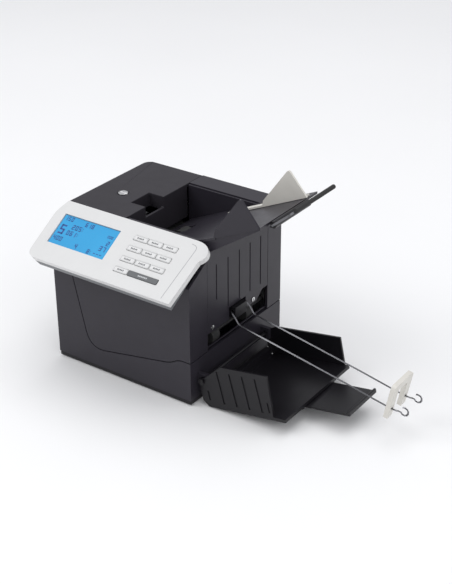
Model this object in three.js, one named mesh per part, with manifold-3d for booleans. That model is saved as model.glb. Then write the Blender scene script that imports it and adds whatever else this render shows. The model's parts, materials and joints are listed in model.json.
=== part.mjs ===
// Banknote counting machine: a desktop counter with a sloping hopper on top, a U-shaped note path
// round one transport drum, a delivery slot in the right side and a stacker tray below it.
// Millimetres, +Z up. X runs left to right along the control panel side, which faces -Y.
// While the parts are being made, x = 0 is the right face, y = 0 the front face and z = 0 the table.
// The whole group is then moved so that its origin is the middle of its bounding box, on the table.
import * as THREE from 'three';
import { mergeVertices } from 'three/addons/utils/BufferGeometryUtils.js';
import Module from 'manifold-3d';

const wasm = await Module();
wasm.setup();

// ---- driving dimensions -------------------------------------------------------------------
const BODY = { width: 147, depth: 136, height: 143, wall: 2.5, corner: 8.5 };
const GAP = 0.35;                        // between pieces that touch
const PARTING = 0.9;                     // width of the visible line between the two body shells
const FAR = 400;                         // longer than anything in the machine
const FOOT = { radius: 6.5, height: 0.85, inset: 13 };
const BASE = { plateLow: 1.2, plateTop: 4.65, shellLow: 5 };
const COVER = { right: -85, front: 26.3, rear: 135.7, thick: 3.2 };
const LANE = { front: 25.3, rear: 114.7 };         // the ribbed bay in the right face
const PANEL = { tilt: 32, backEdge: 26, left: -153, right: 5.9, drop: 61, shell: 5, back: 12 };
const LCD = { left: -142.2, right: -81, top: -12.7, bottom: -43.1 };
const KEY = { columns: [-58.6, -43.5, -28.4], rows: [-14.4, -25, -35.8, -46.6], width: 14.2, height: 4.8,
  startX: -36.1, startWidth: 30, travel: 0.5, proud: 0.7, depth: 4.2 };
const FLOOR = { lowX: -84, lowZ: 108.4, highX: 48.6, highZ: 168.9, front: 28, rear: 115.2, skin: 2.6 };
const DRUM = { x: -90, z: 82, radius: 25, shaft: 3 };
const PICK = { x: -62.8, z: 109.5, radius: 9, shaft: 2.5 };
const EXIT = { x: -10, z: 64, radius: 6.4, shaft: 2.5, pinchZ: 48.3, pinchRadius: 7.5 };
const MOTOR = { x: -45, z: 28, radius: 13, pulley: 6 };
const ROLL_BANDS = [[42, 54], [72, 84]];           // where the rubber rollers sit along a shaft
const PLATES = { front: 17, rear: 119, thick: 1.5 };
const SLOT = { low: 44, high: 58.5 };              // the delivery slot
const WIRE = { pivotX: 1.5, pivotZ: 66, front: 56, rear: 79, radius: 0.85, drop: 10.6, curl: 3.7 };
const STOP = { x: 157, thick: 4, low: 20, high: 52, leg: 8 };
const TRAY = { tilt: 9.5, pivotX: 5.5, pivotZ: 23.4, front: 8, rear: 110, skin: 2,
  floorLow: -23.4, floorTop: -20.4, floorEnd: 81, frontEnd: 68, frontTop: 16.7, rearEnd: 76, rearTop: 6 };
const SLIDER = { start: 60, end: 122, front: 40, rear: 84, low: -25.9, thick: 1.9 };

// ---- helpers ------------------------------------------------------------------------------
const rad = (degrees) => THREE.MathUtils.degToRad(degrees);

function solid(geometry) {
  const bare = geometry.clone();
  bare.deleteAttribute('normal');
  bare.deleteAttribute('uv');
  const merged = mergeVertices(bare, 1e-4);
  return new wasm.Manifold(new wasm.Mesh({
    numProp: 3,
    vertProperties: new Float32Array(merged.attributes.position.array),
    triVerts: new Uint32Array(merged.index.array),
  }));
}

function surface(body) {
  const mesh = body.getMesh();
  const geometry = new THREE.BufferGeometry();
  geometry.setAttribute('position', new THREE.BufferAttribute(new Float32Array(mesh.vertProperties), 3));
  geometry.setIndex(new THREE.BufferAttribute(new Uint32Array(mesh.triVerts), 1));
  return geometry;
}

const cut = (body, ...tools) => tools.reduce((left, tool) => left.subtract(tool), body);
const join = (...bodies) => bodies.reduce((left, right) => left.add(right));

function block([x0, x1], [y0, y1], [z0, z1]) {
  const geometry = new THREE.BoxGeometry(x1 - x0, y1 - y0, z1 - z0);
  geometry.translate((x0 + x1) / 2, (y0 + y1) / 2, (z0 + z1) / 2);
  return solid(geometry);
}

// A round bar along Y.
function bar(x, z, radius, y0, y1, sides = 20) {
  const geometry = new THREE.CylinderGeometry(radius, radius, y1 - y0, sides);
  geometry.translate(x, (y0 + y1) / 2, z);
  return solid(geometry);
}

// A round post along Z.
function post(x, y, radius, z0, z1, sides = 20) {
  const geometry = new THREE.CylinderGeometry(radius, radius, z1 - z0, sides);
  geometry.rotateX(Math.PI / 2);
  geometry.translate(x, y, (z0 + z1) / 2);
  return solid(geometry);
}

// A round stud along X.
function stud(y, z, radius, x0, x1, sides = 16) {
  const geometry = new THREE.CylinderGeometry(radius, radius, x1 - x0, sides);
  geometry.rotateZ(Math.PI / 2);
  geometry.translate((x0 + x1) / 2, y, z);
  return solid(geometry);
}

function outline(points) {
  return new THREE.Shape(points.map(([u, v]) => new THREE.Vector2(u, v)));
}

// A shape drawn in X and Z, extruded from y0 to y1.
function sideways(shape, y0, y1, curveSegments = 6) {
  const geometry = new THREE.ExtrudeGeometry(shape, { depth: y1 - y0, bevelEnabled: false, curveSegments });
  geometry.rotateX(Math.PI / 2);
  geometry.translate(0, y1, 0);
  return solid(geometry);
}

// A shape drawn in X and Y, extruded from z0 to z1.
function upright(shape, z0, z1, curveSegments = 6) {
  const geometry = new THREE.ExtrudeGeometry(shape, { depth: z1 - z0, bevelEnabled: false, curveSegments });
  geometry.translate(0, 0, z0);
  return solid(geometry);
}

// A shape drawn in Y and Z, extruded from x0 to x1.
function across(shape, x0, x1) {
  const geometry = new THREE.ExtrudeGeometry(shape, { depth: x1 - x0, bevelEnabled: false });
  const turn = new THREE.Matrix4().makeBasis(
    new THREE.Vector3(0, 1, 0), new THREE.Vector3(0, 0, 1), new THREE.Vector3(1, 0, 0));
  geometry.applyMatrix4(turn);
  geometry.translate(x0, 0, 0);
  return solid(geometry);
}

function roundedRect(x0, x1, y0, y1, r) {
  const shape = new THREE.Shape();
  shape.moveTo(x0 + r, y0);
  shape.lineTo(x1 - r, y0);
  shape.quadraticCurveTo(x1, y0, x1, y0 + r);
  shape.lineTo(x1, y1 - r);
  shape.quadraticCurveTo(x1, y1, x1 - r, y1);
  shape.lineTo(x0 + r, y1);
  shape.quadraticCurveTo(x0, y1, x0, y1 - r);
  shape.lineTo(x0, y0 + r);
  shape.quadraticCurveTo(x0, y0, x0 + r, y0);
  return shape;
}

const finish = {
  charcoal: [0x35353a, 0.45, 0],
  dark: [0x222226, 0.5, 0],
  white: [0xe6e6e4, 0.4, 0],
  cream: [0xd9d7cf, 0.5, 0],
  grey: [0x6c6e74, 0.45, 0],
  rubber: [0x151515, 0.85, 0],
  chrome: [0xb9bbbd, 0.2, 1],
  steel: [0x9a9da0, 0.35, 1],
  circuit: [0x1f5a34, 0.5, 0],
  screen: [0x3d9fe0, 0.25, 0],
  pulley: [0xbfc0b8, 0.5, 0],
};

function add(parent, name, body, look) {
  const [color, roughness, metalness] = finish[look];
  const mesh = new THREE.Mesh(surface(body), new THREE.MeshStandardMaterial({ color, roughness, metalness }));
  mesh.name = name;
  parent.add(mesh);
  return mesh;
}

const machine = new THREE.Group();
const inner = { x0: -BODY.width + BODY.wall, x1: -BODY.wall, y0: BODY.wall, y1: BODY.depth - BODY.wall };
const floorSlope = (FLOOR.highZ - FLOOR.lowZ) / (FLOOR.highX - FLOOR.lowX);
const floorZ = (x) => FLOOR.lowZ + (x - FLOOR.lowX) * floorSlope;

// The body's plan, moved in by inset: square but for the rounded corner at the rear left.
function footprint(inset, z0, z1) {
  const radius = BODY.corner - inset;
  const left = -BODY.width + inset;
  const rear = BODY.depth - inset;
  const shape = new THREE.Shape();
  shape.moveTo(left, inset);
  shape.lineTo(-inset, inset);
  shape.lineTo(-inset, rear);
  shape.absarc(left + radius, rear - radius, radius, Math.PI / 2, Math.PI, false);
  return upright(shape, z0, z1, 8);
}

// The parting line between the base shell and the upper housing, seen from the front.
function partingShape(shift) {
  const shape = new THREE.Shape();
  shape.moveTo(-FAR, -20);
  shape.lineTo(20, -20);
  shape.lineTo(20, 42 + shift);
  shape.lineTo(-8, 42 + shift);
  shape.bezierCurveTo(-15, 42 + shift, -17, 37.5 + shift, -25, 35.5 + shift);
  shape.lineTo(-93, 23 + shift);
  shape.quadraticCurveTo(-109.5 + shift, 20 + shift, -113.5 + shift, 36);
  shape.lineTo(-138.5 + shift, BODY.height);
  shape.lineTo(-FAR, BODY.height);
  return shape;
}

// Everything in front of the hopper and above the underside of the tilted control panel.
function panelSpace(clearance) {
  const geometry = new THREE.BoxGeometry(FAR, FAR, FAR);
  geometry.translate(-70, 0, FAR / 2 - PANEL.back - clearance);
  geometry.rotateX(rad(PANEL.tilt));
  geometry.translate(0, PANEL.backEdge, BODY.height);
  return solid(geometry).intersect(block([-FAR, FAR], [-FAR, PANEL.backEdge + 0.2], [0, FAR]));
}

// ---- base: bottom plate, feet, shell ------------------------------------------------------
function makeBase() {
  const plate = footprint(0.4, BASE.plateLow, BASE.plateTop);
  add(machine, 'bottom_plate', plate, 'dark');
  for (const [sideX, x] of [['left', -BODY.width + FOOT.inset], ['right', -FOOT.inset]]) {
    for (const [sideY, y] of [['front', FOOT.inset], ['rear', BODY.depth - FOOT.inset]]) {
      add(machine, `rubber_foot_${sideY}_${sideX}`, post(x, y, FOOT.radius, 0, FOOT.height, 16), 'rubber');
    }
  }
  const outer = footprint(0, BASE.shellLow, 139);
  const hollow = block([inner.x0, inner.x1], [inner.y0, inner.y1], [BASE.shellLow + BODY.wall, FAR])
    .intersect(footprint(BODY.wall - 0.3, 0, FAR));
  const low = sideways(partingShape(-PARTING / 2), -10, BODY.depth + 10);
  const inletHole = block([-138.3, -125.7], [BODY.depth - 5, BODY.depth + 5], [11.7, 24.3]);
  const switchHole = block([-138.3, -125.7], [BODY.depth - 5, BODY.depth + 5], [31.7, 52.3]);
  let shell = cut(outer, hollow).intersect(low);
  shell = cut(shell, panelSpace(0.5), inletHole, switchHole);
  for (const [y0, y1] of [[10.4, 14], [104, 107.6]]) {
    const lug = block([-1, 9], [y0, y1], [18, 29]);
    const hole = bar(TRAY.pivotX, TRAY.pivotZ, 2.1, y0 - 1, y1 + 1, 16);
    shell = cut(join(shell, lug), hole);
  }
  add(machine, 'base_shell', shell, 'charcoal');
}

// ---- upper housing: front wall, rear wall with its top rail, right-hand strips --------------
function makeUpperHousing() {
  const outer = block([-BODY.width, 0], [0, BODY.depth], [BASE.shellLow, BODY.height]);
  const hollow = block([inner.x0, inner.x1], [inner.y0, inner.y1], [0, BODY.height - BODY.wall]);
  const high = sideways(partingShape(PARTING / 2), -10, BODY.depth + 10);
  const coverBay = block([-FAR, COVER.right + GAP], [-FAR, FAR], [139.2, FAR]);
  const hopperBay = block([-FAR, 10], [-FAR, 116], [139.2, FAR]);
  const ribbedBay = block([-5, 10], [LANE.front - GAP, LANE.rear + GAP], [0, FAR]);
  const body = cut(outer, hollow, high, coverBay, hopperBay, ribbedBay, panelSpace(0.5));
  const parts = body.decompose().sort((a, b) => b.volume() - a.volume());
  const bridge = join(
    block([inner.x1 - 1, inner.x1 + 0.1], [inner.y0 - 0.1, 118], [42.6, SLOT.low]),
    ...parts);
  add(machine, 'upper_housing', bridge, 'charcoal');
}

// ---- top cover that hinges up at its left edge, with the feed gate on its right edge --------
function makeTopCover() {
  const top = block([-BODY.width, COVER.right], [COVER.front, COVER.rear], [BODY.height - COVER.thick, BODY.height])
    .intersect(footprint(0, 0, FAR));
  const gate = block([COVER.right - 2.5, COVER.right], [30.5, 112.8], [111, BODY.height - 1]);
  const notch = block([-101, 0], [53.5, 78.6], [BODY.height - 10, FAR]);
  const screwWell = post(-119.5, 65.2, 5.4, BODY.height - 1.2, FAR, 24);
  const screwHole = post(-119.5, 65.2, 3.3, 0, FAR, 16);
  const pocketWalls = join(
    block([-103, COVER.right], [51.5, 53.5], [130, BODY.height - 1]),
    block([-103, COVER.right], [78.6, 80.6], [130, BODY.height - 1]),
    block([-103, -101], [51.5, 80.6], [130, BODY.height - 1]));
  const cover = cut(join(top, gate, pocketWalls), notch, screwWell, screwHole);
  add(machine, 'top_cover', cover, 'charcoal');
  const screw = join(post(-119.5, 65.2, 4.4, BODY.height - 0.9, BODY.height + 0.4, 20),
    post(-119.5, 65.2, 2.8, 126, BODY.height - 0.5, 12));
  const drive = block([-125, -114], [64.6, 65.8], [BODY.height - 0.3, FAR]);
  add(machine, 'thickness_screw', cut(screw, drive), 'chrome');
  const holder = join(block([-108, -96], [56, 70], [126, 128.6]),
    block([-104, -99], [56, 58], [112, 127]), block([-104, -99], [68, 70], [112, 127]),
    block([-108, -103.6], [56, 70], [127, BODY.height - COVER.thick - GAP]));
  const axleHole = bar(-101.5, 117, 1.6, 50, 75, 12);
  add(machine, 'retard_roller_holder', cut(holder, axleHole), 'steel');
  const roller = join(bar(-101.5, 117, 8.5, 58.6, 67.4), bar(-101.5, 117, 1.2, 55, 71, 12));
  add(machine, 'retard_roller', roller, 'rubber');
}

// ---- hopper: sloping floor, front guide, rear guide, outer note support ----------------------
function finShape(extraBase) {
  const shape = new THREE.Shape();
  shape.moveTo(4.6, floorZ(4.6) + extraBase);
  shape.lineTo(6, 155.8);
  shape.lineTo(28.4, 187);
  shape.quadraticCurveTo(30.6, 190, 32.6, 187.2);
  shape.lineTo(FLOOR.highX, floorZ(FLOOR.highX) + extraBase);
  return shape;
}

function makeHopper() {
  const floor = sideways(outline([
    [FLOOR.lowX + 2.5, floorZ(FLOOR.lowX + 2.5)], [FLOOR.lowX + 2.5, floorZ(FLOOR.lowX + 2.5) - FLOOR.skin],
    [-6, floorZ(-6) - FLOOR.skin],
    [-6, 134.6], [0.8, 134.6], [FLOOR.highX, 166.6], [FLOOR.highX, FLOOR.highZ]]), 29, FLOOR.rear - 1);
  const hidden = sideways(outline([
    [3, floorZ(3) - 2], [5, 141.5], [FLOOR.highX - 4, floorZ(FLOOR.highX - 4) - 3.4]]), 32, 111);
  const mouth = sideways(outline([
    [6, 130], [11, 148], [FLOOR.highX - 6, floorZ(FLOOR.highX - 6) - 3.2], [FLOOR.highX - 5, 130]]), 32, 111);
  const side = [[FLOOR.lowX, 105.6], [FLOOR.lowX, 142], [-12, 142], [4.6, floorZ(4.6)],
    [6.5, floorZ(6.5) - 0.4], [6.5, floorZ(6.5) - 2.2], [-6, floorZ(-6) - 2.2]];
  const frontSide = sideways(outline(side), FLOOR.front, FLOOR.front + 2);
  const rearSide = sideways(outline(side), FLOOR.rear - 2, FLOOR.rear);
  const fin = sideways(finShape(-1), FLOOR.front, FLOOR.front + 2, 4);
  const rollerSlots = ROLL_BANDS.map(([y0, y1]) => block([PICK.x - 11, PICK.x + 8], [y0 - 1, y1 + 1], [90, 126]));
  const tray = cut(join(floor, frontSide, rearSide, fin), hidden.intersect(mouth), ...rollerSlots);
  add(machine, 'hopper_tray', tray, 'charcoal');

  const flange = sideways(outline([
    [-30, floorZ(-30) + GAP], [FLOOR.highX - 1, floorZ(FLOOR.highX - 1) + GAP],
    [FLOOR.highX - 1, floorZ(FLOOR.highX - 1) + 2.2], [-30, floorZ(-30) + 2.2]]), 97.4, 103.4);
  const wing = sideways(finShape(GAP), 97.4, 99.4, 4);
  add(machine, 'rear_note_guide', join(flange, wing), 'cream');
}

// ---- folding wire that carries the outer end of the notes, with rubber sleeves ---------------
function wireAlong(points, radius, steps, sides = 8) {
  const path = new THREE.CatmullRomCurve3(points.map((p) => new THREE.Vector3(...p)), false, 'centripetal');
  const section = new THREE.Shape();
  section.absarc(0, 0, radius, 0, Math.PI * 2, false);
  return solid(new THREE.ExtrudeGeometry(section,
    { extrudePath: path, steps, bevelEnabled: false, curveSegments: sides / 4 }));
}

const BAIL = { hingeX: 51.6, hingeZ: 166.6, front: 38, rear: 100.5, outX: 72, outZ: 184, radius: 1.2 };
function makeBail() {
  const corner = 3;
  const wire = wireAlong([
    [BAIL.hingeX, 46, BAIL.hingeZ], [BAIL.hingeX, BAIL.front + corner, BAIL.hingeZ],
    [BAIL.hingeX + 1, BAIL.front, BAIL.hingeZ + 1], [BAIL.outX - 2, BAIL.front, BAIL.outZ - 2],
    [BAIL.outX, BAIL.front + corner, BAIL.outZ], [BAIL.outX, BAIL.rear - corner, BAIL.outZ],
    [BAIL.outX - 2, BAIL.rear, BAIL.outZ - 2], [BAIL.hingeX + 1, BAIL.rear, BAIL.hingeZ + 1],
    [BAIL.hingeX, BAIL.rear - corner, BAIL.hingeZ], [BAIL.hingeX, 92, BAIL.hingeZ]], BAIL.radius, 56);
  add(machine, 'note_support_bail', wire, 'chrome');
  const clip = join(
    block([FLOOR.highX + 0.3, BAIL.hingeX], [43.5, 95], [BAIL.hingeZ - 3, BAIL.hingeZ + 2]),
    bar(BAIL.hingeX, BAIL.hingeZ, 3, 43.5, 95, 16));
  const bore = bar(BAIL.hingeX, BAIL.hingeZ, BAIL.radius + 0.35, 40, 100, 12);
  add(machine, 'bail_clip', cut(clip, bore), 'dark');
}

// ---- ribbed cover over the delivery rollers, its two screws, and the wire holder -------------
function makeExitCover() {
  const edge = outline([
    [LANE.front, 134.2], [LANE.front, SLOT.high], [56.3, SLOT.high], [56.3, 70], [80.8, 70],
    [80.8, SLOT.high], [97.5, SLOT.high], [107, 66], [LANE.rear, 66], [LANE.rear, 134.2]]);
  const ribs = [38.1, 54.8, 71.3, 87.5, 103.5];
  const grooves = ribs.map((y, i) => block([-1.1, 1], [y - 0.6, y + 0.6], [i === 0 ? 86 : 72, 118.8]));
  const screwSeats = [32.5, 92.2].map((y) => stud(y, 62, 2.6, -1.3, 1));
  const cover = cut(across(edge, -2.4, 0), ...grooves, ...screwSeats,
    stud(32.5, 62, 1.5, -5, 1), stud(92.2, 62, 1.5, -5, 1));
  add(machine, 'exit_cover', cover, 'charcoal');
  for (const [side, y] of [['front', 32.5], ['rear', 92.2]]) {
    const screw = join(stud(y, 62, 2.2, -0.95, 0.6), stud(y, 62, 1.15, -3.2, -0.5, 10));
    const slit = block([0.2, 2], [y - 0.35, y + 0.35], [58, 66]);
    add(machine, `exit_cover_screw_${side}`, cut(screw, slit), 'chrome');
  }
}

// ---- the wires that press the counted notes down, and the sliding end stop --------------------
function makeStackerWires() {
  const middle = (WIRE.front + WIRE.rear) / 2;
  const block1 = block([-6, 4.6], [middle - 8.5, middle + 8.5], [59.3, 69.6]);
  const bore = bar(WIRE.pivotX, WIRE.pivotZ, WIRE.radius + 0.4, middle - 12, middle + 12, 12);
  add(machine, 'wire_holder', cut(block1, bore), 'dark');

  const slope = Math.tan(rad(WIRE.drop));
  const along = (x) => 57.4 - (x - 5) * slope;
  const half = (y, inward) => [
    [WIRE.pivotX, y + inward * 4, WIRE.pivotZ], [WIRE.pivotX + 0.3, y + inward * 0.8, WIRE.pivotZ],
    [4, y, 64.6], [7.4, y, 60.6], [10, y, 57], [14, y, along(14)], [60, y, along(60)], [110, y, along(110)],
    [163, y, along(163)],
    ...[0, 55, 110, 165, 220, 275].map((turn) => [
      170 + WIRE.curl * Math.cos(rad(200 + turn)), y, 29.6 + WIRE.curl * Math.sin(rad(200 + turn))])];
  const frontHalf = half(WIRE.front, 1).reverse();
  const rearHalf = half(WIRE.rear, -1);
  add(machine, 'stacker_wire', wireAlong([...frontHalf, ...rearHalf], WIRE.radius, 190), 'chrome');

  const stop = new THREE.Group();
  stop.position.set(STOP.x, middle, along(STOP.x));
  stop.rotation.y = rad(WIRE.drop);
  machine.add(stop);
  const low = STOP.low - along(STOP.x);
  const high = STOP.high - along(STOP.x);
  const reach = (WIRE.rear - WIRE.front) / 2 + STOP.leg / 2;
  const plate = new THREE.Shape();
  plate.moveTo(-reach, low);
  plate.lineTo(-reach + STOP.leg, low);
  plate.lineTo(-reach + STOP.leg, high - 7);
  plate.lineTo(reach - STOP.leg, high - 7);
  plate.lineTo(reach - STOP.leg, low);
  plate.lineTo(reach, low);
  plate.lineTo(reach, high - 4);
  plate.quadraticCurveTo(reach, high, reach - 4, high);
  plate.lineTo(-reach + 4, high);
  plate.quadraticCurveTo(-reach, high, -reach, high - 4);
  const holes = [-1, 1].map((side) => stud(side * (WIRE.rear - WIRE.front) / 2, 0, WIRE.radius + 0.7, -10, 10, 12));
  add(stop, 'note_stop', cut(across(plate, -STOP.thick / 2, STOP.thick / 2), ...holes), 'white');
}

// ---- stacker tray on two pivot pins, with a slide-out extension -------------------------------
function makeTray() {
  const group = new THREE.Group();
  group.position.set(TRAY.pivotX, 0, TRAY.pivotZ);
  group.rotation.y = -rad(TRAY.tilt);
  machine.add(group);
  const ear = (end, top, startTop) => {
    const shape = new THREE.Shape();
    shape.moveTo(-3.2, -1);
    shape.lineTo(-1.5, TRAY.floorLow + 5);
    shape.lineTo(4, TRAY.floorLow);
    shape.lineTo(end + 1.5, TRAY.floorLow);
    shape.lineTo(end, top);
    shape.lineTo(startTop, top);
    shape.lineTo(2.6, 3);
    shape.quadraticCurveTo(-2.8, 3.6, -3.2, -1);
    return shape;
  };
  const front = sideways(ear(TRAY.frontEnd, TRAY.frontTop, 22), TRAY.front, TRAY.front + TRAY.skin);
  const rear = sideways(ear(TRAY.rearEnd, TRAY.rearTop, 10), TRAY.rear - TRAY.skin, TRAY.rear);
  const floor = block([4, TRAY.floorEnd], [TRAY.front, TRAY.rear], [TRAY.floorLow, TRAY.floorTop]);
  const lip = block([0, 6], [TRAY.front + 6.2, TRAY.rear - 8], [TRAY.floorLow, -12]);
  const rails = [[SLIDER.front - 3.5, SLIDER.front - GAP], [SLIDER.rear + GAP, SLIDER.rear + 3.5]].map(
    ([y0, y1]) => block([21, TRAY.floorEnd - 2], [y0, y1], [-26.2, TRAY.floorLow + 1]));
  const grooves = [17.5, 30.3, 43.1, 55.9].map((x) => sideways(outline([
    [x - 1, 12], [x + 2.4, -18], [x + 4.4, -18], [x + 1, 12]]), TRAY.front - 1, TRAY.front + 0.8));
  const shortGrooves = [5.4, 65.6].map((x) => sideways(outline([
    [x - 1, -8], [x, -17], [x + 1.6, -17], [x + 0.6, -8]]), TRAY.front - 1, TRAY.front + 0.8));
  const holes = bar(0, 0, 2.1, 0, 120, 16);
  const tray = cut(join(floor, lip, front, rear, ...rails), ...grooves, ...shortGrooves, holes);
  add(group, 'stacker_tray', tray, 'charcoal');
  const slider = block([SLIDER.start, SLIDER.end], [SLIDER.front, SLIDER.rear],
    [SLIDER.low, SLIDER.low + SLIDER.thick]);
  const pull = block([SLIDER.end - 2, SLIDER.end], [SLIDER.front, SLIDER.rear],
    [SLIDER.low, SLIDER.low + SLIDER.thick + 2]);
  add(group, 'tray_extension', join(slider, pull), 'dark');
  const pin = join(bar(0, 0, 1.7, TRAY.front - 1, TRAY.rear + 1, 14),
    bar(0, 0, 2.7, TRAY.front - 1.8, TRAY.front - 0.4, 14), bar(0, 0, 2.7, TRAY.rear + 0.4, TRAY.rear + 1.8, 14));
  add(machine, 'tray_pivot_pin', pin.translate(TRAY.pivotX, 0, TRAY.pivotZ), 'steel');
}

// ---- tilted control panel, drawn in its own plane: x right, y up the slope, z out of the face --
function makePanel() {
  const panel = new THREE.Group();
  panel.position.set(0, PANEL.backEdge, BODY.height);
  panel.rotation.x = rad(PANEL.tilt);
  machine.add(panel);
  const face = new THREE.Shape();
  face.moveTo(-147.4, 0);
  face.lineTo(-9, 0);
  face.quadraticCurveTo(4.6, -0.4, PANEL.right, -10.3);
  face.quadraticCurveTo(5.6, -14.5, 2, -17.7);
  face.lineTo(-0.8, -PANEL.drop);
  face.lineTo(-144, -PANEL.drop);
  face.quadraticCurveTo(PANEL.left, -60.6, PANEL.left, -53);
  face.lineTo(PANEL.left, -16);
  face.quadraticCurveTo(PANEL.left, -12, -147.4, 0);
  const window1 = block([LCD.left, LCD.right], [LCD.bottom, LCD.top], [-20, 20]);
  const keySpots = [];
  KEY.rows.forEach((y, row) => KEY.columns.forEach((x, column) => {
    if (row < 3 || column === 0) {
      keySpots.push({ name: `key_row${row + 1}_${column + 1}`, x, y, width: KEY.width, look: 'white' });
    }
  }));
  keySpots.push({ name: 'key_start', x: KEY.startX, y: KEY.rows[3], width: KEY.startWidth, look: 'grey' });
  const keyBody = ({ x, y, width }, margin, z0, z1) => upright(roundedRect(
    x - width / 2 - margin, x + width / 2 + margin, y - KEY.height / 2 - margin, y + KEY.height / 2 + margin, 1),
  z0, z1, 2);
  const keyHoles = keySpots.map((spot) => keyBody(spot, 0.35, -20, 20));
  // The shell's rear edge is trimmed upright where it meets the top cover.
  const trim = new THREE.BoxGeometry(FAR, FAR, FAR);
  trim.translate(0, FAR / 2 + 0.3, 0);
  trim.rotateX(-rad(PANEL.tilt));
  const behind = solid(trim.translate(0, -0.35, 0));
  add(panel, 'panel_bezel', cut(upright(face, -PANEL.shell, 0), behind, window1, ...keyHoles), 'white');

  const backOutline = outline([[-147, -0.5], [-3, -0.5], [-3, -60.6], [-143.8, -60.6],
    [-150.4, -58.6], [-152.5, -53], [-152.5, -16], [-150.5, -8]]);
  const backShell = cut(upright(backOutline, -PANEL.back, -PANEL.shell - GAP),
    block([-143.4, -10], [-56.5, -8], [-PANEL.back + 1.6, 20]), behind);
  add(panel, 'panel_back', backShell, 'grey');
  const screen = join(
    block([LCD.left + 0.4, LCD.right - 0.4], [LCD.bottom + 0.4, LCD.top - 0.4], [-6, -1]),
    block([LCD.left - 0.8, LCD.right + 2], [LCD.bottom - 2, LCD.top + 2], [-8.2, -PANEL.shell - GAP]));
  add(panel, 'lcd_display', screen, 'screen');
  add(panel, 'panel_board', block([-142, -12], [-55, -9.5], [-PANEL.back + 2, -8.6]), 'circuit');
  keySpots.forEach((spot) => {
    const stem = keyBody(spot, 0, -KEY.depth, KEY.proud);
    add(panel, spot.name, stem, spot.look);
  });
}

// ---- note transport: plates, drum, rollers, guides, belts, motor ------------------------------
function beltLoop(pulleys, thickness) {
  // An open belt round pulleys that are listed anticlockwise: an arc on each, joined by straight runs.
  const leaving = pulleys.map((from, i) => {
    const to = pulleys[(i + 1) % pulleys.length];
    const heading = Math.atan2(to.z - from.z, to.x - from.x);
    const reach = Math.hypot(to.x - from.x, to.z - from.z);
    return heading - Math.acos((from.radius - to.radius) / reach);
  });
  const ring = (offset) => pulleys.flatMap(({ x, z, radius }, i) => {
    const from = leaving[(i + pulleys.length - 1) % pulleys.length];
    const sweep = THREE.MathUtils.euclideanModulo(leaving[i] - from, 2 * Math.PI);
    return Array.from({ length: 11 }, (_, k) => {
      const angle = from + sweep * k / 10;
      return new THREE.Vector2(x + (radius + offset) * Math.cos(angle), z + (radius + offset) * Math.sin(angle));
    });
  });
  const shape = new THREE.Shape(ring(GAP + thickness));
  shape.holes.push(new THREE.Path(ring(GAP)));
  return shape;
}

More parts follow.
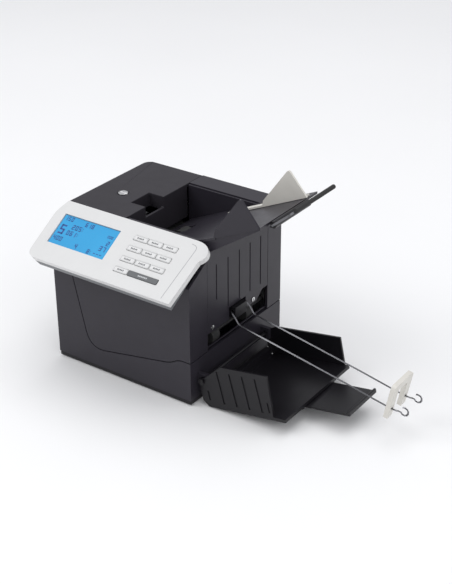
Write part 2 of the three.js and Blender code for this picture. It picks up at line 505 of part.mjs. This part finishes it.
function makeTransport() {
  const plateShape = (top) => outline([
    [-140, 8], [-6, 8], [-6, 70], [-40, top], [-118, top], [-140, 95]]);
  const axleHoles = [[DRUM, 3.6], [PICK, 3.1], [EXIT, 3.1], [{ x: EXIT.x, z: EXIT.pinchZ }, 2.6],
    [{ x: -121.6, z: DRUM.z }, 2.2]].map(([at, r]) => bar(at.x, at.z, r, 10, 130, 14));
  const motorHole = bar(MOTOR.x, MOTOR.z, 4, 110, 130, 16);
  add(machine, 'chassis_plate_front', cut(sideways(plateShape(116), PLATES.front, PLATES.front + PLATES.thick),
    ...axleHoles), 'steel');
  add(machine, 'chassis_plate_rear', cut(sideways(plateShape(122), PLATES.rear, PLATES.rear + PLATES.thick),
    ...axleHoles, motorHole), 'steel');

  const drumBands = [[34, 50], [60, 66], [76, 92]];
  const drum = join(bar(DRUM.x, DRUM.z, DRUM.radius - 1, 31, 111, 32), bar(DRUM.x, DRUM.z, DRUM.shaft, 14, 132.6, 14),
    ...drumBands.map(([y0, y1]) => bar(DRUM.x, DRUM.z, DRUM.radius, y0, y1, 32)));
  add(machine, 'transport_drum', drum, 'rubber');
  const pick = join(bar(PICK.x, PICK.z, PICK.shaft, 14, 132.4, 14),
    ...ROLL_BANDS.map(([y0, y1]) => bar(PICK.x, PICK.z, PICK.radius, y0, y1, 24)));
  add(machine, 'pick_roller', pick, 'rubber');
  const exitBands = [[36, 46], [86, 96]];
  const exit = join(bar(EXIT.x, EXIT.z, EXIT.shaft, 14, 127, 14),
    ...exitBands.map(([y0, y1]) => bar(EXIT.x, EXIT.z, EXIT.radius, y0, y1, 20)));
  add(machine, 'exit_roller', exit, 'rubber');
  const pinch = join(bar(EXIT.x, EXIT.pinchZ, 2, 15, 122, 12),
    ...exitBands.map(([y0, y1]) => bar(EXIT.x, EXIT.pinchZ, EXIT.pinchRadius, y0, y1, 20)));
  add(machine, 'exit_pinch_roller', pinch, 'rubber');
  const drumPinch = join(bar(-121.6, DRUM.z, 1.7, 15, 122, 12),
    ...ROLL_BANDS.map(([y0, y1]) => bar(-121.6, DRUM.z, 6.2, y0, y1, 20)));
  add(machine, 'drum_pinch_roller', drumPinch, 'rubber');

  const guide = new THREE.Shape();
  guide.absarc(DRUM.x, DRUM.z, 29.3, rad(118), rad(258), false);
  guide.absarc(DRUM.x, DRUM.z, 27.6, rad(258), rad(118), true);
  const windows = ROLL_BANDS.map(([y0, y1]) => block([-132, -112], [y0 - 1, y1 + 1], [73, 91]));
  add(machine, 'drum_outer_guide', cut(sideways(guide, 29, 112, 14), ...windows), 'dark');
  add(machine, 'path_lower_guide', block([-88, -20], [29, 112], [53.4, 54.6]), 'dark');
  add(machine, 'image_sensor_lower', block([-52, -38], [31, 110], [42.5, 53]), 'dark');
  add(machine, 'image_sensor_upper', join(block([-60, -20], [29, 112], [59.2, 60.6]),
    block([-52, -38], [31, 110], [60, 72])), 'dark');

  const motor = join(bar(MOTOR.x, MOTOR.z, MOTOR.radius, 76, 117.4, 24), bar(MOTOR.x, MOTOR.z, 3.4, 117, 120.4, 14));
  add(machine, 'drive_motor', motor, 'steel');
  add(machine, 'motor_pulley', bar(MOTOR.x, MOTOR.z, MOTOR.pulley, 122, 126.4, 18), 'pulley');
  const hollowed = (body, at, hole) => cut(body, bar(at.x, at.z, hole, 110, 140, 14));
  const mainPlane = [122, 126.4];
  const feedPlane = [127.6, 132];
  const stepped = join(bar(DRUM.x, DRUM.z, 15, ...mainPlane, 24), bar(DRUM.x, DRUM.z, 9, 126, 132, 24));
  add(machine, 'drum_pulley', hollowed(stepped, DRUM, 3.3), 'pulley');
  add(machine, 'exit_pulley', hollowed(bar(EXIT.x, EXIT.z, 4.5, ...mainPlane, 18), EXIT, 2.8), 'pulley');
  add(machine, 'pick_pulley', hollowed(bar(PICK.x, PICK.z, 6, ...feedPlane, 18), PICK, 2.8), 'pulley');
  const ring = (at, radius) => ({ x: at.x, z: at.z, radius });
  const driven = [ring(DRUM, 15), ring(MOTOR, MOTOR.pulley), ring(EXIT, 4.5)];
  add(machine, 'drive_belt', sideways(beltLoop(driven, 1.3), 122.3, 126.1), 'rubber');
  add(machine, 'feed_belt', sideways(beltLoop([ring(DRUM, 9), ring(PICK, 6)], 1.3), 127.9, 131.7), 'rubber');
}

// ---- electrics --------------------------------------------------------------------------------
function makeElectrics() {
  const chips = [[40, 30, 18, 12], [70, 40, 14, 14], [45, 62, 22, 10], [85, 66, 12, 18]].map(
    ([y, z, wide, tall]) => block([-139.6, -136.8], [y, y + wide], [z, z + tall]));
  add(machine, 'main_board', join(block([-141, -139.4], [32, 108], [20, 84]), ...chips), 'circuit');
  const inlet = cut(block([-138, -126], [122, BODY.depth - 0.2], [12, 24]),
    bar(-132, 18, 3.6, 127, 140, 20));
  add(machine, 'power_inlet', join(inlet, bar(-132, 18, 1.1, 126, 134, 10)), 'dark');
  const rocker = outline([[129, 42], [132.4, 33], [135.9, 33], [134.7, 42], [135.9, 51], [132.4, 51]]);
  add(machine, 'power_switch', across(rocker, -137.6, -126.4), 'dark');
}

makeBase();
makeUpperHousing();
makeTopCover();
makeHopper();
makeBail();
makeExitCover();
makeStackerWires();
makeTray();
makePanel();
makeTransport();
makeElectrics();

// ---- origin: the middle of the bounding box, on the table ---------------------------------------
machine.updateMatrixWorld(true);
const bounds = new THREE.Box3().setFromObject(machine, true);
machine.position.set(-(bounds.min.x + bounds.max.x) / 2, -(bounds.min.y + bounds.max.y) / 2, -bounds.min.z);

export default machine;
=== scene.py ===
"""Banknote counting machine: finishes, soft edges, markings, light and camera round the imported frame."""
import json
import math

import bmesh
import bpy
from mathutils import Matrix, Vector


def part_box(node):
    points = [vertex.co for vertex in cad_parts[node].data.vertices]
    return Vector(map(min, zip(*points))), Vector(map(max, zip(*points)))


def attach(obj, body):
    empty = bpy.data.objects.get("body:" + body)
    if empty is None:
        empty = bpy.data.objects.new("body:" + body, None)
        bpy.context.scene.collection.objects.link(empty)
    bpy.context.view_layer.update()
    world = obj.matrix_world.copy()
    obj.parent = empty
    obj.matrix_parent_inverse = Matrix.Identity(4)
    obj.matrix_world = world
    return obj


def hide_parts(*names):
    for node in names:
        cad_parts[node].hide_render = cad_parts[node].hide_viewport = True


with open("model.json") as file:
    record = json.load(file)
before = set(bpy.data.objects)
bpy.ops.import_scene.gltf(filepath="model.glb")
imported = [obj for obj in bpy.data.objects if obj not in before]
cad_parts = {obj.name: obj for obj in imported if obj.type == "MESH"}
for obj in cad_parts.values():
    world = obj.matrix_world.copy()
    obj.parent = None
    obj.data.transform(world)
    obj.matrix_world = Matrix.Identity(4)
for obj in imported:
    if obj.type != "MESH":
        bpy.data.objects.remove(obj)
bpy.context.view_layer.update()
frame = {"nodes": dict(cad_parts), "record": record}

MM = 0.001


# ---- places, worked out from the frame ------------------------------------------------------
def corner(node):
    """The node's lowest and highest corner as vectors, in metres."""
    low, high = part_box(node)
    return Vector(low), Vector(high)


TILT = math.radians(32)                  # slope of the control panel
UPHILL = Vector((0, math.cos(TILT), math.sin(TILT)))
NORMAL = Vector((0, -math.sin(TILT), math.cos(TILT)))
SCREEN_DEPTH = 1.0                       # the screen lies this far below the bezel's face, mm
KEY_PROUD = 0.7                          # the keys stand this far above it, mm
KEY_SUNK = 4.2                           # and reach this far below it, mm
KEY_HALF = (KEY_PROUD + KEY_SUNK) / 2    # half a key's length along the normal, mm


def key_top(node):
    """The middle of a key's top face."""
    low, high = corner(node)
    return (low + high) / 2 + NORMAL * KEY_HALF * MM


FACE_AT_KEY = key_top("key_row1_1") - NORMAL * KEY_PROUD * MM
# That key's place on the panel, from the body's right face and the slope's start, in mm.
KEY_PLACE = Vector((-58.6, -14.4))
SLOPE_START = Vector((0, 26, 143))       # where the slope starts, from the body's corner on the table, mm
KEY_FROM_START = Vector((KEY_PLACE.x * MM, 0, 0)) + UPHILL * KEY_PLACE.y * MM
BODY_CORNER = FACE_AT_KEY - KEY_FROM_START - SLOPE_START * MM


# ---- materials ---------------------------------------------------------------------------------
def new_material(name):
    """An empty node material with its shader and output joined."""
    material = bpy.data.materials.new(name)
    material.use_nodes = True
    tree = material.node_tree
    tree.nodes.clear()
    shader = tree.nodes.new("ShaderNodeBsdfPrincipled")
    output = tree.nodes.new("ShaderNodeOutputMaterial")
    tree.links.new(shader.outputs["BSDF"], output.inputs["Surface"])
    return material, tree, shader


def noise(tree, scale, detail=3.0):
    """A noise texture on the object's own coordinates, about scale features per metre."""
    place = tree.nodes.new("ShaderNodeTexCoord")
    texture = tree.nodes.new("ShaderNodeTexNoise")
    texture.inputs["Scale"].default_value = scale
    texture.inputs["Detail"].default_value = detail
    tree.links.new(place.outputs["Object"], texture.inputs["Vector"])
    return texture


def ramp(tree, source, dark, light, low=0.3, high=0.7):
    """A two-colour ramp driven by a texture's factor."""
    blend = tree.nodes.new("ShaderNodeValToRGB")
    blend.color_ramp.elements[0].position = low
    blend.color_ramp.elements[0].color = (*dark, 1)
    blend.color_ramp.elements[1].position = high
    blend.color_ramp.elements[1].color = (*light, 1)
    tree.links.new(source.outputs["Fac"], blend.inputs["Fac"])
    return blend


GRAIN_HEIGHT = 0.2 * MM                  # the tallest that a plastic's grain can stand


def plastic(name, colour, rough, grain=2600, depth=0.06, vary=0.04, coat=0.0, shine=0.5):
    """Moulded plastic: an even colour with faint clouding, fine spark grain and slightly uneven gloss."""
    material, tree, shader = new_material(name)
    dark = [c * (1 - vary) for c in colour]
    light = [c * (1 + vary) for c in colour]
    clouds = noise(tree, 55)
    tree.links.new(ramp(tree, clouds, dark, light).outputs["Color"], shader.inputs["Base Color"])
    gloss = tree.nodes.new("ShaderNodeMapRange")
    gloss.inputs["To Min"].default_value = rough - 0.04
    gloss.inputs["To Max"].default_value = rough + 0.04
    tree.links.new(noise(tree, 130).outputs["Fac"], gloss.inputs["Value"])
    tree.links.new(gloss.outputs["Result"], shader.inputs["Roughness"])
    bump = tree.nodes.new("ShaderNodeBump")
    bump.inputs["Strength"].default_value = depth
    bump.inputs["Distance"].default_value = GRAIN_HEIGHT
    tree.links.new(noise(tree, grain, 2).outputs["Fac"], bump.inputs["Height"])
    tree.links.new(bump.outputs["Normal"], shader.inputs["Normal"])
    shader.inputs["Specular IOR Level"].default_value = shine
    shader.inputs["Coat Weight"].default_value = coat
    shader.inputs["Coat Roughness"].default_value = 0.2
    return material


def metal(name, colour, rough, streak=0.05):
    """Metal with faint uneven marks in its colour and gloss."""
    material, tree, shader = new_material(name)
    shader.inputs["Metallic"].default_value = 1.0
    dark = [c * 0.93 for c in colour]
    texture = noise(tree, 420, 4)
    tree.links.new(ramp(tree, texture, dark, colour).outputs["Color"], shader.inputs["Base Color"])
    gloss = tree.nodes.new("ShaderNodeMapRange")
    gloss.inputs["To Min"].default_value = rough
    gloss.inputs["To Max"].default_value = rough + streak
    tree.links.new(texture.outputs["Fac"], gloss.inputs["Value"])
    tree.links.new(gloss.outputs["Result"], shader.inputs["Roughness"])
    return material


def backlit(name, colour, edge, strength):
    """Display glass lit from behind, a little uneven over its face."""
    material, tree, shader = new_material(name)
    glow = ramp(tree, noise(tree, 28, 1), edge, colour, 0.2, 0.8)
    tree.links.new(glow.outputs["Color"], shader.inputs["Base Color"])
    tree.links.new(glow.outputs["Color"], shader.inputs["Emission Color"])
    shader.inputs["Emission Strength"].default_value = strength
    shader.inputs["Roughness"].default_value = 0.22
    return material


CHARCOAL = plastic("charcoal", (0.026, 0.0235, 0.031), 0.34, vary=0.06, depth=0.07, shine=0.3)
CHARCOAL_TOP = plastic("charcoal_top", (0.027, 0.0245, 0.030), 0.42, vary=0.05, depth=0.1, shine=0.25)
BLACK = plastic("black", (0.009, 0.0083, 0.0105), 0.32, vary=0.08, shine=0.3)
WHITE = plastic("white", (0.66, 0.66, 0.655), 0.3, grain=1800, depth=0.02, vary=0.012, coat=0.25)
CREAM = plastic("cream", (0.66, 0.64, 0.59), 0.42, vary=0.03)
KEY_WHITE = plastic("key_white", (0.68, 0.68, 0.675), 0.4, vary=0.01)
GREY = plastic("grey", (0.15, 0.155, 0.165), 0.42)
KEY_GREY = plastic("key_grey", (0.12, 0.125, 0.13), 0.45)
INK = plastic("ink", (0.055, 0.06, 0.07), 0.6, depth=0.01)
LINE = plastic("line", (0.33, 0.34, 0.35), 0.55, depth=0.01)
SHADE = plastic("shade", (0.34, 0.34, 0.35), 0.5, depth=0.01)
MARK_LIGHT = plastic("mark_light", (0.55, 0.56, 0.57), 0.5, depth=0.01)
SCREEN_INK = plastic("screen_ink", (0.02, 0.07, 0.27), 0.5, depth=0.01)
RUBBER = plastic("rubber", (0.018, 0.018, 0.018), 0.75, grain=900, depth=0.2, vary=0.12)
BOARD = plastic("board", (0.03, 0.14, 0.07), 0.4, vary=0.15)
PULLEY = plastic("pulley", (0.6, 0.6, 0.57), 0.45)
# Painted reflection: the bright wire's base colour is darkened to stand for the dark surroundings that
# chrome reflects.
WIRE_METAL_PAINTED_REFLECTION = metal("chrome", (0.16, 0.16, 0.17), 0.18, 0.08)
SCREW = metal("screw", (0.70, 0.70, 0.70), 0.2, 0.08)
STEEL = metal("steel", (0.50, 0.51, 0.52), 0.3, 0.1)
SCREEN = backlit("screen", (0.035, 0.33, 0.62), (0.025, 0.28, 0.56), 0.1)

LOOKS = {"charcoal_plastic": CHARCOAL, "black_plastic": BLACK, "rubber": RUBBER, "bright_wire": WIRE_METAL_PAINTED_REFLECTION,
         "steel": STEEL, "cream_plastic": CREAM, "white_plastic": WHITE, "grey_plastic": GREY,
         "circuit_board": BOARD, "display": SCREEN, "pulley_plastic": PULLEY}
SPECIAL = {"top_cover": CHARCOAL_TOP, "stacker_tray": BLACK, "note_stop": CREAM, "key_start": KEY_GREY,
           "thickness_screw": SCREW, "exit_cover_screw_front": SCREW, "exit_cover_screw_rear": SCREW}


# ---- frame nodes: materials, and rounded copies of the ones that show ------------------------
def body_named(node):
    """The name of the body that a CAD node rides on."""
    return next(name for name, nodes in frame["record"]["behaviour"]["bodies"].items() if node in nodes)


def slot_named(node):
    """The material slot that the record gives a CAD node."""
    return next(s["material_slot"] for s in frame["record"]["subparts"] if s["node"] == node)


def look_of(node):
    """The material that a CAD node is shown with."""
    if node.startswith("key_row"):
        return KEY_WHITE
    return SPECIAL.get(node, LOOKS[slot_named(node)])


SAME_POINT = 2e-6                        # corners closer than this are one, metres
FLAT = math.radians(0.6)                 # faces that meet at less than this are one flat face
SHARP = math.radians(28)                 # edges sharper than this are rounded


def refine(node, width, segments=2, whole=True):
    """Shows a CAD node as a copy with sharp edges rounded by width mm. whole makes each flat face one."""
    source = frame["nodes"][node]
    mesh = bmesh.new()
    mesh.from_mesh(source.data)
    mesh.transform(source.matrix_world)
    bmesh.ops.remove_doubles(mesh, verts=mesh.verts, dist=SAME_POINT)
    if whole:
        bmesh.ops.dissolve_limit(mesh, angle_limit=FLAT, verts=mesh.verts, edges=mesh.edges)
    data = bpy.data.meshes.new(node + "_soft")
    mesh.to_mesh(data)
    mesh.free()
    for face in data.polygons:
        face.use_smooth = True
    piece = bpy.data.objects.new(node + "_soft", data)
    bpy.context.scene.collection.objects.link(piece)
    bevel = piece.modifiers.new("soft_edge", "BEVEL")
    bevel.width = width * MM
    bevel.segments = segments
    bevel.limit_method = "ANGLE"
    bevel.angle_limit = SHARP
    bevel.use_clamp_overlap = True
    bevel.harden_normals = False
    weighted = piece.modifiers.new("even_shade", "WEIGHTED_NORMAL")
    weighted.keep_sharp = True
    data.materials.append(look_of(node))
    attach(piece, body_named(node))
    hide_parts(node)


EDGE = {"base_shell": 0.85, "upper_housing": 0.85, "top_cover": 0.6, "hopper_tray": 0.4, "exit_cover": 0.3,
        "rear_note_guide": 0.5, "wire_holder": 0.4, "bail_clip": 0.3, "note_stop": 0.7, "stacker_tray": 0.5,
        "tray_extension": 0.4, "panel_bezel": 1.2, "panel_back": 0.8, "thickness_screw": 0.25,
        "exit_cover_screw_front": 0.15, "exit_cover_screw_rear": 0.15, "lcd_display": 0.1,
        "power_inlet": 0.3, "power_switch": 0.3, "bottom_plate": 0.4}
KEY_EDGE = 0.25
PIERCED = {"base_shell"}                 # flat faces with holes, which stay as the CAD's triangles

for name, node_object in frame["nodes"].items():
    if name.startswith("key_"):
        refine(name, KEY_EDGE)
    elif name in EDGE:
        refine(name, EDGE[name], segments=3 if name == "panel_bezel" else 2, whole=name not in PIERCED)
    else:
        node_object.data.materials.clear()
        node_object.data.materials.append(look_of(name))


# ---- thin printed marks on the screen and the keys ------------------------------------------
def on_face(origin, x, up, height=0.0):
    """The point x mm right of origin, up mm up the panel's slope and height mm above its face."""
    return origin + Vector((x * MM, 0, 0)) + UPHILL * up * MM + NORMAL * height * MM


def stroke(origin, x0, x1, low, high):
    """The four corners of a rectangle on the panel, anticlockwise seen from above it."""
    return [on_face(origin, x, up) for x, up in ((x0, low), (x1, low), (x1, high), (x0, high))]


def printed(name, quads, material, body, thick=0.06):
    """A piece made of thin flat tiles, thick mm high along the panel's normal."""
    mesh = bmesh.new()
    for quad in quads:
        under = [mesh.verts.new(p) for p in quad]
        over = [mesh.verts.new(p + NORMAL * thick * MM) for p in quad]
        mesh.faces.new(under[::-1])
        mesh.faces.new(over)
        for i in range(4):
            j = (i + 1) % 4
            mesh.faces.new((under[i], under[j], over[j], over[i]))
    data = bpy.data.meshes.new(name)
    mesh.to_mesh(data)
    mesh.free()
    piece = bpy.data.objects.new(name, data)
    bpy.context.scene.collection.objects.link(piece)
    data.materials.append(material)
    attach(piece, body)


SEGMENTS = {"0": "abcdef", "1": "bc", "2": "abged", "3": "abgcd", "4": "fgbc", "5": "afgcd", "6": "afgecd",
            "7": "abc", "8": "abcdefg", "-": "g"}
COLON_DOTS = (0.3, 0.7)                  # heights of a colon's dots, as shares of the digit's height
DIGIT_WIDTH, DIGIT_PITCH, DIGIT_LINE = 0.56, 1.42, 0.16     # width and line per height, pitch per width


def digit(origin, mark, x, up, width, height, line):
    """Seven-segment strokes for one mark whose lower left corner is at x, up."""
    if mark == ":":
        middles = [up + height * share for share in COLON_DOTS]
        return [stroke(origin, x, x + line, middle - line / 2, middle + line / 2) for middle in middles]
    half = height / 2
    bars = {"a": (0, width, height - line, height), "d": (0, width, 0, line),
            "g": (0, width, half - line / 2, half + line / 2), "f": (0, line, half, height),
            "b": (width - line, width, half, height), "e": (0, line, 0, half),
            "c": (width - line, width, 0, half)}
    quads = []
    for part in SEGMENTS[mark]:
        x0, x1, low, high = bars[part]
        quads.append(stroke(origin, x + x0, x + x1, up + low, up + high))
    return quads


def digits(origin, text, x, up, height):
    """A row of seven-segment marks that starts at x, up."""
    width = height * DIGIT_WIDTH
    quads = []
    for place, mark in enumerate(text):
        quads += digit(origin, mark, x + place * width * DIGIT_PITCH, up, width, height, height * DIGIT_LINE)
    return quads


# The screen's lower left corner on the panel, from the same two lines.
SCREEN_PLACE = Vector((-142.2, -43.1))
screen_from_key = SCREEN_PLACE - KEY_PLACE
screen_corner = on_face(FACE_AT_KEY, screen_from_key.x, screen_from_key.y, -SCREEN_DEPTH)
# What the screen shows: marks, then their left end, foot and height in mm from the screen's corner.
SCREEN_ROWS = [("150", 2.0, 25.0, 4.2), ("618", 25.0, 24.2, 4.2), ("205:", 14.0, 18.2, 4.6),
               ("061:", 12.0, 11.8, 4.6), ("2", 55.0, 13.5, 4.4), ("37", 51.0, 7.2, 4.8),
               ("400", 2.2, 4.4, 4.4), ("4", 27.5, 2.2, 4.4), ("8:---", 41.5, 1.4, 4.2),
               ("000", 52.0, 20.6, 2.6), ("5", 3.2, 11.0, 9.6)]
screen_marks = []
for words, x, up, height in SCREEN_ROWS:
    screen_marks += digits(screen_corner, words, x, up, height)
printed("screen_digits", screen_marks, SCREEN_INK, "machine")

KEY_SIZE = (14.2, 4.8)                   # mm
OUTLINE_INSET = (0.45, 0.4)              # from a key's edges
OUTLINE_LINE = 0.2
KEY_MARK = (6.8, 1.5)                    # the row of bars on a key
KEY_BARS = 5
BAR_SHARE = 0.62                         # how much of its pitch a bar fills
SHORT_BY = 0.3                           # every second bar is this much shorter
PRINT = 0.03                             # thickness of the print on the keys


def key_outline(origin):
    """Four strokes round a key's top."""
    half_w, half_h = (size / 2 - inset for size, inset in zip(KEY_SIZE, OUTLINE_INSET))
    line = OUTLINE_LINE
    return [stroke(origin, -half_w, half_w, half_h - line, half_h),
            stroke(origin, -half_w, half_w, -half_h, line - half_h),
            stroke(origin, -half_w, line - half_w, -half_h, half_h),
            stroke(origin, half_w - line, half_w, -half_h, half_h)]


def key_bars(origin):
    """A short generic row of bars in the middle of a key."""
    pitch = KEY_MARK[0] / KEY_BARS
    foot = -KEY_MARK[1] / 2
    bars = []
    for i in range(KEY_BARS):
        x = -KEY_MARK[0] / 2 + i * pitch
        bars.append(stroke(origin, x, x + pitch * BAR_SHARE, foot, -foot - SHORT_BY * (i % 2)))
    return bars


for name in frame["nodes"]:
    if name.startswith("key_row"):
        printed(name + "_outline", key_outline(key_top(name)), LINE, name, PRINT)
        printed(name + "_mark", key_bars(key_top(name)), INK, name, PRINT)

START_BARS, START_FIRST, START_PITCH, START_BAR, START_HALF = 6, -4.6, 1.6, 1.1, 0.6     # count, then mm
start_top = key_top("key_start")
start_marks = []
for i in range(START_BARS):
    left = START_FIRST + START_PITCH * i
    start_marks.append(stroke(start_top, left, left + START_BAR, -START_HALF, START_HALF))
printed("key_start_mark", start_marks, MARK_LIGHT, "key_start", PRINT)


# A crease sets off the panel's right end. Its points are mm from the right face and the slope's start.
CREASE = [(-12.5, -4.4), (-8.6, -5.0), (-6.6, -6.6), (-6.2, -9.0), (-10.1, -58.5)]
CREASE_WIDTH = 0.5
panel_start = on_face(FACE_AT_KEY, -KEY_PLACE.x, -KEY_PLACE.y)
crease = []
for (x0, up0), (x1, up1) in zip(CREASE, CREASE[1:]):
    along = Vector((x1 - x0, up1 - up0)).normalized() * CREASE_WIDTH / 2
    side = Vector((-along.y, along.x))
    start, end = Vector((x0, up0)), Vector((x1, up1))
    corners = (start - side, end - side, end + side, start + side)
    crease.append([on_face(panel_start, *point) for point in corners])
printed("panel_crease", crease, SHADE, "machine", 0.04)


# ---- rubber sleeve on the folding note support --------------------------------------------------
def sleeve(name, points, radius, body):
    """A round tube of rubber, radius mm, along points in the row frame."""
    curve = bpy.data.curves.new(name, "CURVE")
    curve.dimensions = "3D"
    curve.bevel_depth = radius * MM
    curve.bevel_resolution = 5
    curve.use_fill_caps = True
    run = curve.splines.new("POLY")
    run.points.add(len(points) - 1)
    for spot, place in zip(run.points, points):
        spot.co = (*place, 1)
    piece = bpy.data.objects.new(name, curve)
    bpy.context.scene.collection.objects.link(piece)
    curve.materials.append(RUBBER)
    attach(piece, body)


bail_low, bail_high = corner("note_support_bail")
WIRE_RADIUS = 1.2 * MM
SLEEVE_RADIUS = 1.9                      # mm
SLEEVE_STOPS = 5 * MM                    # short of each bend in the wire
bar_x = bail_high.x - WIRE_RADIUS
bar_z = bail_high.z - WIRE_RADIUS
sleeve_ends = [(bar_x, bail_low.y + SLEEVE_STOPS, bar_z), (bar_x, bail_high.y - SLEEVE_STOPS, bar_z)]
sleeve("bail_sleeve", sleeve_ends, SLEEVE_RADIUS, "note_support_bail")


# ---- floor, light and camera --------------------------------------------------------------------
FLOOR_HALF = 6                           # metres


def pale_floor():
    """A plain pale floor under the machine."""
    mesh = bmesh.new()
    bmesh.ops.create_grid(mesh, x_segments=1, y_segments=1, size=FLOOR_HALF)
    data = bpy.data.meshes.new("floor")
    mesh.to_mesh(data)
    mesh.free()
    floor = bpy.data.objects.new("floor", data)
    bpy.context.scene.collection.objects.link(floor)
    material, tree, shader = new_material("pale_floor")
    shade = ramp(tree, noise(tree, 3, 2), (0.88,) * 3, (0.9,) * 3)
    tree.links.new(shade.outputs["Color"], shader.inputs["Base Color"])
    shader.inputs["Roughness"].default_value = 0.9
    data.materials.append(material)


def soft_light(name, place, target, size, power):
    """A square area light at place, facing target, in metres and watts."""
    light = bpy.data.lights.new(name, "AREA")
    light.size = size
    light.energy = power
    lamp = bpy.data.objects.new(name, light)
    bpy.context.scene.collection.objects.link(lamp)
    lamp.location = place
    lamp.rotation_euler = (Vector(target) - Vector(place)).to_track_quat("-Z", "Y").to_euler()


pale_floor()
MIDDLE = (0, 0, 0.08)                    # of the machine, about, in metres
soft_light("key_light", (-1.2, -1.3, 1.7), MIDDLE, 1.4, 17)
soft_light("fill_light", (1.6, -0.7, 1.0), MIDDLE, 1.4, 7)
soft_light("top_light", (0.1, 0.3, 2.0), MIDDLE, 1.6, 15)

world = bpy.data.worlds.new("studio")
bpy.context.scene.world = world
world.use_nodes = True
world.node_tree.nodes["Background"].inputs["Color"].default_value = (0.95, 0.96, 1.0, 1)
world.node_tree.nodes["Background"].inputs["Strength"].default_value = 0.62

AZIMUTH = math.radians(35.347)
ELEVATION = math.radians(28.577)
ROLL = math.radians(-0.302)
DISTANCE = 1.05935                       # along the line of sight from the body's corner, metres
ASIDE = Vector((0.02932, 0.0969))        # how far the line of sight passes beside that corner, metres
SENSOR = 36.0                            # mm
LENS = 100.0                             # mm


def place_camera():
    """The camera at the viewing angle that shows the front, the right face and the top."""
    data = bpy.data.cameras.new("camera")
    data.sensor_fit = "HORIZONTAL"
    data.sensor_width = SENSOR
    data.lens = LENS
    data.clip_start = 0.05
    data.clip_end = 50
    camera = bpy.data.objects.new("camera", data)
    bpy.context.scene.collection.objects.link(camera)
    level = Vector((math.sin(AZIMUTH), -math.cos(AZIMUTH), 0))
    back = level * math.cos(ELEVATION) + Vector((0, 0, math.sin(ELEVATION)))
    right = Vector((math.cos(AZIMUTH), math.sin(AZIMUTH), 0))
    up = back.cross(right)
    rolled_right = right * math.cos(ROLL) + up * math.sin(ROLL)
    rolled_up = up * math.cos(ROLL) - right * math.sin(ROLL)
    place = BODY_CORNER + rolled_right * ASIDE.x + rolled_up * ASIDE.y + back * DISTANCE
    turn = Matrix((rolled_right, rolled_up, back)).transposed().to_4x4()
    camera.matrix_world = Matrix.Translation(place) @ turn
    bpy.context.scene.camera = camera


place_camera()
bpy.context.scene.view_settings.view_transform = "Standard"
